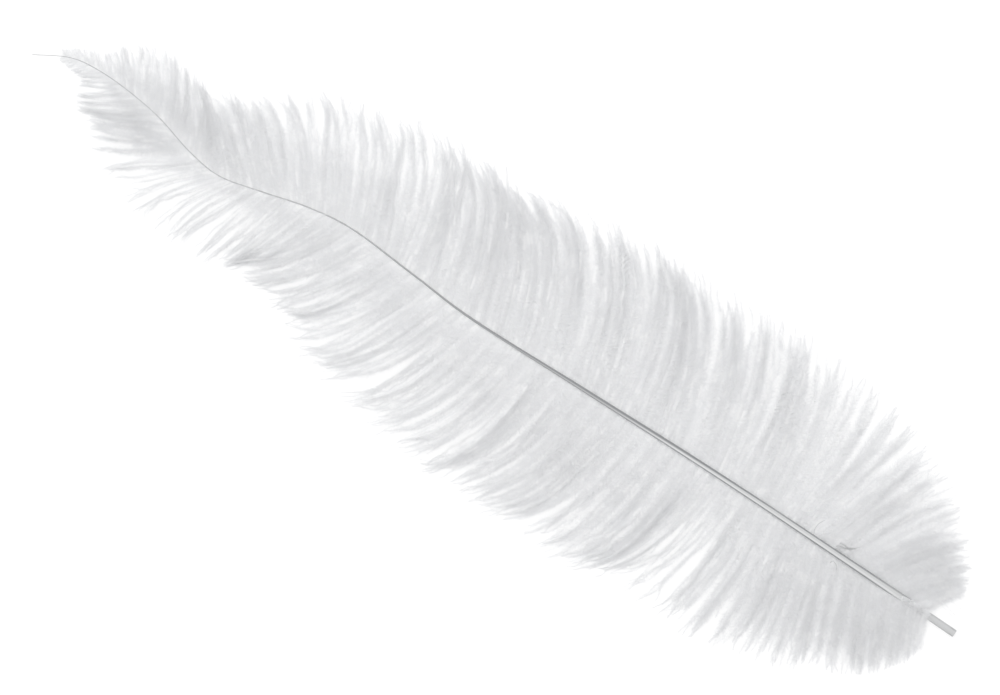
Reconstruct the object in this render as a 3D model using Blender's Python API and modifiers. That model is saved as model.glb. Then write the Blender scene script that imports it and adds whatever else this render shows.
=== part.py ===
"""Ostrich plume, laid down: one curved shaft and two vanes of loose locks, grown as one piece.

The plume lies along X, with its hair-thin tip at -X, the cut end of its quill at +X and +Z up. It rests on
the tips of its locks and on the quill, and the shaft arches over the surface between them.
"""

import math
from typing import NamedTuple

import bmesh
import bpy
import numpy as np

MM = 0.001

# The shaft, from its tip to the cut end of the quill: millimetres along the plume and to the side
ROUTE = (
    (0, 0),
    (13, 6.5),
    (25, 8.0),
    (39, 7.2),
    (53, 4.9),
    (69, 0.3),
    (83, -1.4),
    (100, 2.2),
    (117, 6.2),
    (135, 7.9),
    (163, 5.5),
    (190, 3.2),
    (240, 3.0),
    (294, 2.6),
    (359, 0.8),
    (400, -0.7),
)
PLUME_LENGTH = 400
ARCH = 12.0
SHAFT_POINTS = 44
HEADING_REACH = 12
# Millimetres along the shaft from its tip, and its radius there
SHAFT_RADIUS = ((0, 0.35), (60, 0.5), (140, 0.62), (205, 0.8), (290, 1.15), (345, 1.65), (404, 1.6))

# The vanes
SHEET_THICKNESS = 0.9
LOCK_CROWN = 1.3
BARB_LIFT = 2.0
TIP_HEIGHT = 0.22
TIP_LIFT = 3.0
TIP_WIDTH = 0.14
# Millimetres along the shaft from its tip, and the width of a lock where it leaves the shaft there
LOCK_PITCH = ((12, 8.0), (120, 11.0), (300, 12.0), (345, 7.0), (384, 5.0))
FIRST_LOCK = 12
LAST_LOCK = 380
# Parts of a barb's length at which each lock has a row of points
ROWS = (0.0, 0.12, 0.3, 0.48, 0.65, 0.83, 1.0)
# How many rows two neighbouring locks share before they part, and how much of their width they keep after that
FORK_ROWS = (3, 2, 4, 3, 2, 3, 4, 2, 3, 3, 4)
WIDTH_AFTER_FORK = (0.8, 0.62, 0.42, 0.3)
SHORTEST_REACH = 0.86
LOCK_SEED = 7

# The plume's place: the middle of its box, in millimetres along it and to the side, is the origin
MIDDLE = (200.0, 5.35)

BARB_WHITE = (0.86, 0.865, 0.875, 1.0)
BARB_ROUGHNESS = 0.75


class Barbs(NamedTuple):
    """The barbs at one station: millimetres, and degrees to the shaft's line towards its tip."""

    station: float
    length: float
    leaves: float
    ends: float


FAR_VANE = (
    Barbs(12, 6, 48, 35),
    Barbs(50, 24, 50, 37),
    Barbs(90, 37, 56, 40),
    Barbs(108, 40, 60, 42),
    Barbs(118, 41, 64, 43),
    Barbs(158, 52, 72, 40),
    Barbs(200, 58, 75, 44),
    Barbs(230, 62, 77, 46),
    Barbs(250, 64, 78, 48),
    Barbs(310, 64, 84, 62),
    Barbs(326, 61, 92, 82),
    Barbs(340, 57, 104, 100),
    Barbs(354, 52, 116, 122),
    Barbs(366, 42, 121, 138),
    Barbs(378, 30, 120, 146),
    Barbs(391, 16, 118, 138),
)
NEAR_VANE = (
    Barbs(12, 6, 42, 30),
    Barbs(50, 27, 46, 30),
    Barbs(90, 34, 54, 30),
    Barbs(108, 37, 58, 28),
    Barbs(130, 43, 62, 28),
    Barbs(170, 54, 72, 32),
    Barbs(210, 61, 82, 38),
    Barbs(250, 64, 84, 40),
    Barbs(290, 60, 88, 48),
    Barbs(302, 57, 90, 52),
    Barbs(311, 56, 95, 68),
    Barbs(325, 54, 99, 78),
    Barbs(340, 49, 105, 95),
    Barbs(355, 43, 111, 112),
    Barbs(370, 35, 114, 120),
    Barbs(384, 24, 116, 122),
    Barbs(391, 13, 118, 122),
)


def through(points, per_span=12):
    """Points of a smooth curve that passes through the given ones (Catmull-Rom)."""
    known = np.array(points, float)
    known = np.vstack([2 * known[0] - known[1], known, 2 * known[-1] - known[-2]])
    steps = np.linspace(0, 1, per_span, endpoint=False)[:, None]
    curve = []
    for a, b, c, d in zip(known, known[1:], known[2:], known[3:]):
        bend = 2 * a - 5 * b + 4 * c - d
        twist = 3 * b - a - 3 * c + d
        curve.append(0.5 * (2 * b + (c - a) * steps + bend * steps**2 + twist * steps**3))
    return np.vstack([*curve, known[-2:-1]])


class Shaft:
    """The line of the shaft, read by the distance along it from its tip."""

    def __init__(self):
        self.line = through(ROUTE)
        strides = np.linalg.norm(np.diff(self.line, axis=0), axis=1)
        self.arc = np.concatenate([[0], np.cumsum(strides)])
        self.length = self.arc[-1]

    def place(self, station):
        """Where the shaft is at this station, along the plume and to the side."""
        return np.array([np.interp(station, self.arc, column) for column in self.line.T])

    def heading(self, station):
        """The direction towards the tip in degrees, with the shaft's short bends evened out."""
        along, aside = self.place(station - HEADING_REACH) - self.place(station + HEADING_REACH)
        return math.degrees(math.atan2(aside, along))

    def radius(self, station):
        return np.interp(station, *zip(*SHAFT_RADIUS))

    def height(self, station):
        """The height of the axis: it lies on the surface at both ends and arches between them."""
        share = np.clip(station / self.length, 0, 1)
        return self.radius(station) - 0.1 + ARCH * math.sin(math.pi * share)


def barb(shaft, vane, side, station, part, steps=24):
    """The point that lies the given part of the way along the barb of this station, in the plane."""
    stations, lengths, leaves, ends = np.array(vane).T
    length = np.interp(station, stations, lengths)
    first = np.interp(station, stations, leaves)
    last = np.interp(station, stations, ends)
    way = (np.arange(steps) + 0.5) / steps * part
    turn = np.radians(shaft.heading(station) - side * (first + (last - first) * way**2))
    stride = length * part / steps
    return shaft.place(station) + stride * np.array([np.cos(turn).sum(), np.sin(turn).sum()])


def droop(shaft, station, part, tip_height, crown=0.0):
    """The height of a barb, which rises a little from the shaft and then falls and lies along the surface."""
    fall = (1 + math.cos(math.pi * part)) / 2
    root = shaft.height(station)
    swell = (BARB_LIFT + crown) * math.sin(math.pi * part) * root / ARCH
    return tip_height + (root - tip_height) * fall + swell


def lock_edges():
    """The stations of the lines between neighbouring locks."""
    edges = [FIRST_LOCK]
    while edges[-1] < LAST_LOCK:
        edges.append(edges[-1] + np.interp(edges[-1], *zip(*LOCK_PITCH)))
    return edges


def vane_sheet(shaft):
    """One open sheet for both vanes: a web along the shaft that parts into the fingers of the locks."""
    sheet = bmesh.new()
    edges = lock_edges()
    random = np.random.default_rng(LOCK_SEED)

    def point(place, height):
        return sheet.verts.new((*(place - MIDDLE) * MM, height * MM))

    def root(station):
        return point(shaft.place(station), shaft.height(station))

    edge_roots = [root(station) for station in edges]
    crown_roots = [root((first + second) / 2) for first, second in zip(edges, edges[1:])]
    for side, vane in ((1, FAR_VANE), (-1, NEAR_VANE)):
        forks = [FORK_ROWS[(5 * number + side) % len(FORK_ROWS)] for number in range(len(edges))]
        shared = [
            [start]
            + [
                point(
                    barb(shaft, vane, side, station, part),
                    droop(shaft, station, part, TIP_HEIGHT, -LOCK_CROWN / 2),
                )
                for part in ROWS[1 : fork + 1]
            ]
            for station, start, fork in zip(edges, edge_roots, forks)
        ]
        for number, start in enumerate(crown_roots):
            reach = random.uniform(SHORTEST_REACH, 1)
            tip_height = TIP_HEIGHT + TIP_LIFT * random.choice((0, 0, 0.5, 1))
            middle = (edges[number] + edges[number + 1]) / 2
            parts = [part * (1 - (1 - reach) * part) for part in ROWS]
            crown = [start]
            for row, part in zip(ROWS[1:], parts[1:]):
                height = droop(shaft, middle, row, tip_height, LOCK_CROWN / 2)
                crown.append(point(barb(shaft, vane, side, middle, part), height))
            borders = []
            for edge in (number, number + 1):
                border = list(shared[edge])
                for row in range(forks[edge] + 1, len(ROWS)):
                    centre = barb(shaft, vane, side, middle, parts[row])
                    line = barb(shaft, vane, side, edges[edge], parts[row])
                    after = row - forks[edge] - 1
                    width = TIP_WIDTH if row == len(ROWS) - 1 else WIDTH_AFTER_FORK[after]
                    height = droop(shaft, middle, ROWS[row], tip_height)
                    border.append(point(centre + width * (line - centre), height))
                borders.append(border)
            for row in range(len(ROWS) - 1):
                for left, right in ((borders[0], crown), (crown, borders[1])):
                    face = [left[row], right[row], right[row + 1], left[row + 1]]
                    sheet.faces.new(face if side < 0 else face[::-1])
    mesh = bpy.data.meshes.new("vanes")
    sheet.to_mesh(mesh)
    sheet.free()
    return mesh


def shaft_mesh(shaft):
    """The shaft as a tapered round tube with closed ends."""
    curve = bpy.data.curves.new("shaft", "CURVE")
    curve.dimensions = "3D"
    curve.bevel_depth = MM
    curve.bevel_resolution = 2
    curve.use_fill_caps = True
    spline = curve.splines.new("POLY")
    spline.points.add(SHAFT_POINTS - 1)
    for station, node in zip(np.linspace(0, shaft.length, SHAFT_POINTS), spline.points):
        along, aside = (shaft.place(station) - MIDDLE) * MM
        node.co = (along, aside, shaft.height(station) * MM, 1)
        node.radius = shaft.radius(station)
    guide = bpy.data.objects.new("shaft_guide", curve)
    bpy.context.scene.collection.objects.link(guide)
    bpy.context.view_layer.update()
    graph = bpy.context.evaluated_depsgraph_get()
    mesh = bpy.data.meshes.new_from_object(guide.evaluated_get(graph))
    bpy.data.objects.remove(guide)
    welded = bmesh.new()
    welded.from_mesh(mesh)
    bmesh.ops.remove_doubles(welded, verts=welded.verts, dist=1e-6)
    welded.to_mesh(mesh)
    welded.free()
    return mesh


def ground_box():
    """A block whose top is the surface that the plume lies on."""
    block = bmesh.new()
    bmesh.ops.create_cube(block, size=1)
    bmesh.ops.scale(block, vec=(1.2 * PLUME_LENGTH * MM, PLUME_LENGTH * MM, 10 * MM), verts=block.verts)
    bmesh.ops.translate(block, vec=(0, 0, -5 * MM), verts=block.verts)
    mesh = bpy.data.meshes.new("ground")
    block.to_mesh(mesh)
    block.free()
    return mesh


def barb_material():
    material = bpy.data.materials.new("white_barbs")
    material.use_nodes = True
    shader = material.node_tree.nodes["Principled BSDF"]
    shader.inputs["Base Color"].default_value = BARB_WHITE
    shader.inputs["Roughness"].default_value = BARB_ROUGHNESS
    return material


def helper(name, mesh, collection):
    """An object that only lends its shape to a Boolean."""
    thing = bpy.data.objects.new(name, mesh)
    thing.hide_render = True
    thing.display_type = "WIRE"
    collection.objects.link(thing)
    return thing


def main():
    for thing in list(bpy.data.objects):
        bpy.data.objects.remove(thing)
    parts = bpy.data.collections.new("ostrich_feather")
    cutters = bpy.data.collections.new("cutters")
    for collection in (parts, cutters):
        bpy.context.scene.collection.children.link(collection)

    shaft = Shaft()
    feather = bpy.data.objects.new("ostrich_feather", shaft_mesh(shaft))
    feather.data.materials.append(barb_material())
    parts.objects.link(feather)

    vanes = helper("vanes", vane_sheet(shaft), cutters)
    solid = vanes.modifiers.new("thickness", "SOLIDIFY")
    solid.thickness = SHEET_THICKNESS * MM
    solid.offset = 0
    ground = helper("ground", ground_box(), cutters)

    grown = feather.modifiers.new("vanes grow from the shaft", "BOOLEAN")
    grown.operation = "UNION"
    grown.object = vanes
    rest = feather.modifiers.new("flat where it rests", "BOOLEAN")
    rest.operation = "DIFFERENCE"
    rest.object = ground


main()
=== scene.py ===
"""White ostrich plume: its fine barbs, shaft and finish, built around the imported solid.

The plume lies along X, tip at -X and cut quill at +X. Lengths in the tables are millimetres and angles
are degrees. Each vane is several hundred barbs, and each barb is a line of short strides, with one fine
barbule to the left and one to the right of every stride. The barbs leave the shaft side by side and
gather in small tufts further out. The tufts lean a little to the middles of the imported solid's locks.
"""

import logging
import math
from dataclasses import dataclass, field
from enum import Enum

import bpy
import numpy as np
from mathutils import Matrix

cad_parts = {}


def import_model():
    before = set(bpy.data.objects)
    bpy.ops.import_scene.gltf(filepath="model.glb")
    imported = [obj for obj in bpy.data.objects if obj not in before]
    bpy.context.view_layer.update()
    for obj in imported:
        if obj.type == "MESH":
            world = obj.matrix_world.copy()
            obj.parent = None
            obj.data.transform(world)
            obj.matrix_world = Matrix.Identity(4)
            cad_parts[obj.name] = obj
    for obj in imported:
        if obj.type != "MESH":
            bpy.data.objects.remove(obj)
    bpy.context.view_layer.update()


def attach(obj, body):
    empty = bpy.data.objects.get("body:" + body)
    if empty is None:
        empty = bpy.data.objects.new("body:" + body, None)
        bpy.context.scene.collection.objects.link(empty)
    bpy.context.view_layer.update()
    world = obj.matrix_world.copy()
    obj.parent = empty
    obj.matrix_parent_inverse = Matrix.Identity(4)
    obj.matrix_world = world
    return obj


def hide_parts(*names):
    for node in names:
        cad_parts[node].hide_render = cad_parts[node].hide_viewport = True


LOG = logging.getLogger("ostrich_plume")

MM = 0.001
NODE = "ostrich_feather"
BODY = "root"
BARB_MAP = "OFBake"
# Each point carries three numbers for its finish: its place across, its place along and a shade. Along a
# barb that is the distance from the root in this many millimetres
MARKS = "marks"
MARKED_LENGTH = 100.0
WHITE = (1.0, 1.0, 1.0, 1.0)
# Each piece of a vane has random numbers of its own, up to this many pieces
MOST_SECTIONS = 10
PAST_ALL = 1.001
# The least length that a direction is divided by
TINY = 1e-9
# The span over which the shaft's own direction is taken, in millimetres
SHORT_BENDS = 2.0

# The middle of the plume's box, in millimetres along it and to the side, is the origin
MIDDLE = np.array([200.0, 5.35])
# The photograph's frame, and where the middle of the plume's straight length lies in it
FRAME_PIXELS = (1000, 695)
PLUME_MIDDLE_PIXEL = (493.5, 343.0)
PLUME_TURN = 32.03
MM_PER_PIXEL = 0.3658


class Side(Enum):
    """The two vanes, named for where they lie: FAR is on the +Y side of the shaft."""

    FAR = 1
    NEAR = -1


class Slot(Enum):
    """Names of material slots."""

    BARBS = "barbs"
    SHAFT = "shaft"


@dataclass(frozen=True)
class BarbStation:
    """The barbs at one place along the shaft, counted from its tip.

    Args:
        station: Distance from the tip to the root.
        length: Length of a barb.
        leaves: Angle to the shaft's line towards the tip, at the root.
        ends: The same angle at the barb's own tip.
        parts: Share of its length from which it gathers in a tuft with its neighbours.
        gathers: How closely the barbs of a tuft lie together there, from 0 to 1.
        fluff: How long its barbules stay out there, as a share of their full length.
    """

    station: float
    length: float
    leaves: float
    ends: float
    parts: float
    gathers: float
    fluff: float


def barb_table(*rows: tuple) -> tuple:
    """Makes a barb station of each row."""
    return tuple(BarbStation(*row) for row in rows)


FAR_BARBS = barb_table(
    (12, 3, 48, 35, 0.3, 0.6, 0.6),
    (30, 9, 49, 36, 0.35, 0.7, 0.55),
    (50, 25, 50, 37, 0.4, 0.75, 0.55),
    (75, 31, 54, 39, 0.45, 0.75, 0.45),
    (95, 36, 57, 40, 0.6, 0.5, 0.8),
    (108, 39, 60, 42, 0.75, 0.4, 1.0),
    (118, 42, 64, 43, 0.45, 0.8, 0.65),
    (158, 54, 72, 36, 0.45, 0.7, 0.65),
    (190, 58, 74, 30, 0.5, 0.6, 0.8),
    (210, 61, 76, 24, 0.65, 0.35, 1.0),
    (230, 64, 77, 25, 0.6, 0.45, 0.9),
    (250, 65, 78, 32, 0.75, 0.4, 1.0),
    (290, 64, 81, 43, 0.7, 0.35, 0.9),
    (310, 63, 84, 57, 0.75, 0.28, 1.0),
    (326, 60, 92, 80, 0.8, 0.25, 1.0),
    (340, 55, 104, 100, 0.8, 0.25, 0.95),
    (354, 48, 116, 122, 0.8, 0.3, 0.9),
    (366, 39, 121, 138, 0.8, 0.3, 0.9),
    (378, 29, 120, 144, 0.8, 0.3, 0.9),
    (391, 16, 118, 136, 0.8, 0.3, 0.9),
)
NEAR_BARBS = barb_table(
    (12, 3, 42, 30, 0.3, 0.7, 0.5),
    (30, 11, 42, 32, 0.2, 0.85, 0.38),
    (50, 29, 42, 30, 0.25, 0.85, 0.4),
    (58, 34, 42, 30, 0.45, 0.6, 0.6),
    (70, 36, 43, 32, 0.45, 0.6, 0.6),
    (80, 36, 43, 52, 0.15, 0.85, 0.4),
    (88, 37, 44, 76, 0.1, 0.88, 0.35),
    (96, 37, 48, 78, 0.1, 0.88, 0.35),
    (108, 37, 54, 58, 0.15, 0.82, 0.4),
    (122, 39, 60, 38, 0.2, 0.65, 0.5),
    (138, 45, 63, 28, 0.3, 0.5, 0.6),
    (170, 54, 72, 32, 0.3, 0.55, 0.58),
    (210, 61, 82, 38, 0.35, 0.5, 0.6),
    (250, 63, 84, 40, 0.45, 0.45, 0.7),
    (290, 61, 88, 48, 0.5, 0.45, 0.75),
    (302, 59, 90, 52, 0.15, 0.7, 0.4),
    (311, 58, 95, 68, 0.3, 0.6, 0.6),
    (325, 55, 99, 78, 0.6, 0.4, 0.9),
    (340, 50, 105, 95, 0.75, 0.3, 0.88),
    (355, 42, 111, 112, 0.8, 0.3, 0.85),
    (370, 34, 114, 118, 0.8, 0.3, 0.85),
    (384, 23, 115, 118, 0.8, 0.3, 0.85),
    (391, 14, 116, 118, 0.8, 0.3, 0.85),
)
# Single barbs that curl over the vanes at the base: along the plume, to the side and height. The dark and
# the curled ones are of this grey
STRAY_GREY = (0.5, 0.505, 0.51, 1.0)
DARK_STRAYS = (
    ((336.4, 2.2, 8.6), (335.4, 4.3, 9.6), (335.2, 5.8, 10.3), (335.5, 7.3, 10.5), (336.6, 9.2, 10.2)),
    ((345.5, 2.6, 8.2), (347.7, 4.3, 9.6), (349.9, 4.9, 9.9), (351.8, 6.7, 9.9), (352.9, 7.9, 9.7)),
    ((346.7, -2.9, 8.4), (347.2, -1.6, 9.4), (348.9, -2.3, 9.6), (350.0, -3.9, 9.3)),
)
CURLED_STRAYS = (
    ((345.3, 3.4, 9.0), (346.8, 4.3, 9.9), (348.3, 4.4, 10.0), (349.9, 5.4, 9.9), (351.6, 6.3, 9.7)),
    ((345.9, 5.0, 9.0), (347.6, 5.5, 9.9), (349.0, 5.0, 10.0), (350.8, 5.2, 9.7)),
)
PALE_STRAYS = (
    ((390.5, 7.2, 1.6), (392.6, 6.3, 1.9), (394.9, 5.6, 1.8), (397.9, 5.1, 1.3), (400.6, 4.2, 0.8)),
    ((389.5, 6.0, 1.6), (391.4, 5.3, 1.9), (394.0, 4.9, 1.6), (396.4, 4.0, 1.0)),
    ((388.0, 9.0, 1.6), (391.4, 8.8, 1.9), (395.0, 8.6, 1.6), (398.4, 8.0, 1.0)),
)


def smoothstep(low: float, high: float, value: np.ndarray) -> np.ndarray:
    """Rises smoothly from 0 at low to 1 at high."""
    share = np.clip((value - low) / (high - low), 0, 1)
    return share * share * (3 - 2 * share)


def read_table(points: tuple, station: np.ndarray) -> np.ndarray:
    """Reads a table of (station, value) pairs at these stations."""
    return np.interp(station, *zip(*points))


def read_line(line: np.ndarray, known: np.ndarray, wanted: np.ndarray) -> np.ndarray:
    """Reads a line, known at some distances along it, at the wanted distances."""
    return np.stack([np.interp(wanted, known, column) for column in line.T], -1)


def unit(vectors: np.ndarray) -> np.ndarray:
    """Brings vectors to length 1."""
    return vectors / (np.linalg.norm(vectors, axis=-1, keepdims=True) + TINY)


@dataclass
class ShaftLine:
    """The line of the shaft, read by the distance along it from its tip.

    Args:
        route: Points along the plume and to the side, from the tip to the cut end.
        radii: Stations and the radius at each.
        solid_radii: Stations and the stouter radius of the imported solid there, which sets the height.
        sunk: How far the axis lies under that radius where the shaft touches the surface.
        arch: How high the middle of the shaft arches over the surface.
        heading_reach: The span over which the shaft's short bends are evened out for its barbs.
        span_points: Points between two points of the route.
    """

    route: tuple = (
        (0, 0), (13, 6.5), (25, 8.0), (39, 7.2), (53, 4.9), (69, 0.3), (83, -1.4), (100, 2.2),
        (117, 6.2), (135, 7.9), (163, 5.5), (190, 3.2), (240, 3.0), (294, 2.6), (359, 0.8),
        (400, -0.7),
    )
    radii: tuple = (
        (0, 0.11), (25, 0.16), (90, 0.2), (140, 0.3), (180, 0.4), (205, 0.52), (240, 0.8),
        (282, 1.08), (331, 1.24), (365, 1.42), (382, 1.6), (404, 1.6),
    )
    solid_radii: tuple = (
        (0, 0.35), (60, 0.5), (140, 0.62), (205, 0.8), (290, 1.15), (345, 1.65), (404, 1.6),
    )
    sunk: float = 0.1
    arch: float = 12.0
    heading_reach: float = 12.0
    span_points: int = 12
    line: np.ndarray = field(init=False)
    arc: np.ndarray = field(init=False)

    def __post_init__(self) -> None:
        """Draws the smooth line through the route."""
        known = np.array(self.route, float)
        known = np.vstack([2 * known[0] - known[1], known, 2 * known[-1] - known[-2]])
        steps = np.linspace(0, 1, self.span_points, endpoint=False)[:, None]
        spans = []
        for a, b, c, d in zip(known, known[1:], known[2:], known[3:]):
            bend = 2 * a - 5 * b + 4 * c - d
            twist = 3 * b - a - 3 * c + d
            spans.append(0.5 * (2 * b + (c - a) * steps + bend * steps**2 + twist * steps**3))
        self.line = np.vstack([*spans, known[-2:-1]])
        strides = np.linalg.norm(np.diff(self.line, axis=0), axis=1)
        self.arc = np.concatenate([[0], np.cumsum(strides)])

    @property
    def length(self) -> float:
        """The length along the shaft."""
        return float(self.arc[-1])

    def place(self, station: np.ndarray) -> np.ndarray:
        """Where the shaft is at these stations, along the plume and to the side."""
        return read_line(self.line, self.arc, station)

    def heading(self, station: np.ndarray, reach: float | None = None) -> np.ndarray:
        """The direction towards the tip, in degrees.

        Args:
            station: Distances from the tip.
            reach: The span over which bends are evened out, or None for the barbs' own.

        Returns:
            The angle at each station.
        """
        span = self.heading_reach if reach is None else reach
        way = self.place(station - span) - self.place(station + span)
        return np.degrees(np.arctan2(way[..., 1], way[..., 0]))

    def outward(self, station: np.ndarray) -> np.ndarray:
        """The directions across the shaft at these stations."""
        heading = np.radians(self.heading(station, SHORT_BENDS))
        return np.stack([-np.sin(heading), np.cos(heading)], -1)

    def radius(self, station: np.ndarray) -> np.ndarray:
        """The radius of the shaft at these stations."""
        return read_table(self.radii, station)

    def height(self, station: np.ndarray) -> np.ndarray:
        """The height of the shaft's axis over the surface."""
        share = np.clip(np.asarray(station) / self.length, 0, 1)
        return read_table(self.solid_radii, station) - self.sunk + self.arch * np.sin(math.pi * share)


@dataclass
class LockPlan:
    """Where the locks of both vanes part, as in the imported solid.

    Args:
        pitch: Stations and the width of a lock at the shaft there.
        first: Station of the first lock's edge.
        last: Station that the last lock reaches.
        shortest_reach: The least share of its full length that a lock has.
        tip_lift: The most that a lock's tip stands over the surface.
        lift_shares: The shares of it that are drawn from.
        seed: Start of the random numbers.
    """

    pitch: tuple = ((12, 8.0), (120, 11.0), (300, 12.0), (345, 7.0), (384, 5.0))
    first: float = 12
    last: float = 380
    shortest_reach: float = 0.86
    tip_lift: float = 3.0
    lift_shares: tuple = (0.0, 0.0, 0.5, 1.0)
    seed: int = 7
    edges: np.ndarray = field(init=False)
    reach: dict = field(init=False)
    lift: dict = field(init=False)

    def __post_init__(self) -> None:
        """Lays out the locks from the tip to the base."""
        edges = [self.first]
        while edges[-1] < self.last:
            edges.append(edges[-1] + float(read_table(self.pitch, edges[-1])))
        self.edges = np.array(edges)
        random = np.random.default_rng(self.seed)
        self.reach, self.lift = {}, {}
        for side in Side:
            least, lifts = self.shortest_reach, self.lift_shares
            draws = [(random.uniform(least, 1), random.choice(lifts)) for _ in edges[1:]]
            self.reach[side] = np.array([reach for reach, _ in draws])
            self.lift[side] = np.array([self.tip_lift * lift for _, lift in draws])

    @property
    def middles(self) -> np.ndarray:
        """The stations of the locks' middle lines."""
        return (self.edges[1:] + self.edges[:-1]) / 2


@dataclass
class BarbStack:
    """Gathers barbs and joins them into one mesh.

    A barb is a line of short strides. Each stride is the foot of one barbule to the left and one to the
    right, and each barbule is a long thin triangle, so a barb thins out softly to both sides.

    Args:
        stride: Distance between neighbouring barbules of one side.
        lean_spread: Spread of the barbules' angles to their barb, in radians.
        tilt: Usual angle of the barbules to the level, in radians.
        tilt_spread: Spread of that angle.
        root_tilt: The angle by which held-down barbules hang below the level.
        reach_range: Shares of their usual length between which the barbules' own lengths lie.
        roll_spread: Spread of the barbs' roll about their own lines, in radians.
        roll_wave: How far that roll comes and goes along a barb.
        roll_turns: The range of how often it does, in radians over the barb's length.
        fewest_pairs: The least number of strides in a barb.
        root_reach: The stretch by the shaft where the barbules stay low, so that they don't cover it.
        root_share: Share of that stretch in which they are fully down.
        floor_gap: The least height of any point over the surface.
        cell_start: Where a barb begins in its own cell of the flat map, across and along.
        cell_share: How much of the cell it takes up, across and along.
        seed: Start of the random numbers.
    """

    stride: float = 0.12
    lean_spread: float = 0.24
    tilt: float = 0.05
    tilt_spread: float = 0.3
    root_tilt: float = 0.25
    reach_range: tuple = (0.55, 1.2)
    roll_spread: float = 0.2
    roll_wave: float = 0.35
    roll_turns: tuple = (2.0, 7.0)
    fewest_pairs: int = 6
    root_reach: float = 4.0
    root_share: float = 0.2
    floor_gap: float = 0.06
    cell_start: tuple = (0.05, 0.03)
    cell_share: tuple = (0.9, 0.94)
    seed: int = 11
    points: list = field(default_factory=list)
    triangles: list = field(default_factory=list)
    marks: list = field(default_factory=list)
    count: int = 0

    def __post_init__(self) -> None:
        """Starts the random numbers."""
        self.random = np.random.default_rng(self.seed)

    def add(
        self, path: np.ndarray, fringe: np.ndarray, lean: np.ndarray, tone: float, low: float = 1.0
    ) -> None:
        """Adds one barb.

        Args:
            path: Points of its middle line, in millimetres.
            fringe: Length of the barbules at each of these points.
            lean: Angle between the barbules and the barb at each of these points.
            tone: A number from 0 to 1 that its finish reads as its own shade.
            low: How far the barbules next to the shaft are held down, from 0 to 1.
        """
        strides = np.linalg.norm(np.diff(path, axis=0), axis=1)
        arc = np.concatenate([[0], np.cumsum(strides)])
        pairs = max(self.fewest_pairs, round(arc[-1] / self.stride))
        share = np.linspace(0, 1, pairs + 1)
        way = share * arc[-1]
        line = read_line(path, arc, way)
        along = unit(np.gradient(line, axis=0))
        across = unit(np.stack([-along[:, 1], along[:, 0], np.zeros(len(along))], -1))
        up = np.cross(along, across)
        turns, phase = self.random.uniform(*self.roll_turns), self.random.uniform(0, 2 * math.pi)
        roll = self.random.normal(0, self.roll_spread) + self.roll_wave * np.sin(share * turns + phase)
        roll = roll[:, None]
        across, up = across * np.cos(roll) + up * np.sin(roll), up * np.cos(roll) - across * np.sin(roll)

        middle = (share[1:] + share[:-1]) / 2
        foot = (line[1:] + line[:-1]) / 2
        size = np.interp(middle * arc[-1], arc, fringe)
        angle = np.radians(np.interp(middle * arc[-1], arc, lean))
        root = self.root_share * self.root_reach
        free = 1 - low * (1 - smoothstep(root, self.root_reach, middle * arc[-1]))
        tips = []
        for sign in (1, -1):
            turn = angle + self.random.normal(0, self.lean_spread, pairs)
            tilt = self.random.normal(self.tilt, self.tilt_spread, pairs) * free
            tilt = tilt - self.root_tilt * (1 - free)
            reach = (size * self.random.uniform(*self.reach_range, pairs))[:, None]
            out = across[:-1] * sign * np.cos(tilt)[:, None] + up[:-1] * np.sin(tilt)[:, None]
            tips.append(foot + (along[:-1] * np.cos(turn)[:, None] + out * np.sin(turn)[:, None]) * reach)
        corners = np.vstack([line, *tips])
        corners[:, 2] = np.maximum(corners[:, 2], self.floor_gap)

        step = np.arange(pairs)
        left, right = pairs + 1 + step, 2 * pairs + 1 + step
        faces = np.vstack([np.stack([step, step + 1, left], -1), np.stack([step + 1, step, right], -1)])
        spread = np.concatenate([np.full(pairs + 1, 0.5), np.ones(pairs), np.zeros(pairs)])
        lengthwise = np.concatenate([share, middle, middle]) * arc[-1] / MARKED_LENGTH
        self.marks.append(np.stack([spread, lengthwise, np.full(len(spread), tone)], -1))
        self.points.append(corners)
        self.triangles.append(faces + self.count)
        self.count += len(corners)

    def mesh(self, name: str) -> bpy.types.Object:
        """Joins the barbs into one object.

        Args:
            name: Name of the object.

        Returns:
            The object, linked to the scene.
        """
        points = np.vstack(self.points)
        points[:, :2] -= MIDDLE
        triangles = np.vstack(self.triangles)
        width = math.ceil(math.sqrt(len(self.marks)))
        cells = []
        for number, mark in enumerate(self.marks):
            column, row = number % width, number // width
            start = np.array([column, row]) + self.cell_start
            cells.append((start + mark[:, :2] * self.cell_share) / width)
        return mesh_object(name, points * MM, triangles, np.vstack(cells), np.vstack(self.marks))


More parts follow.
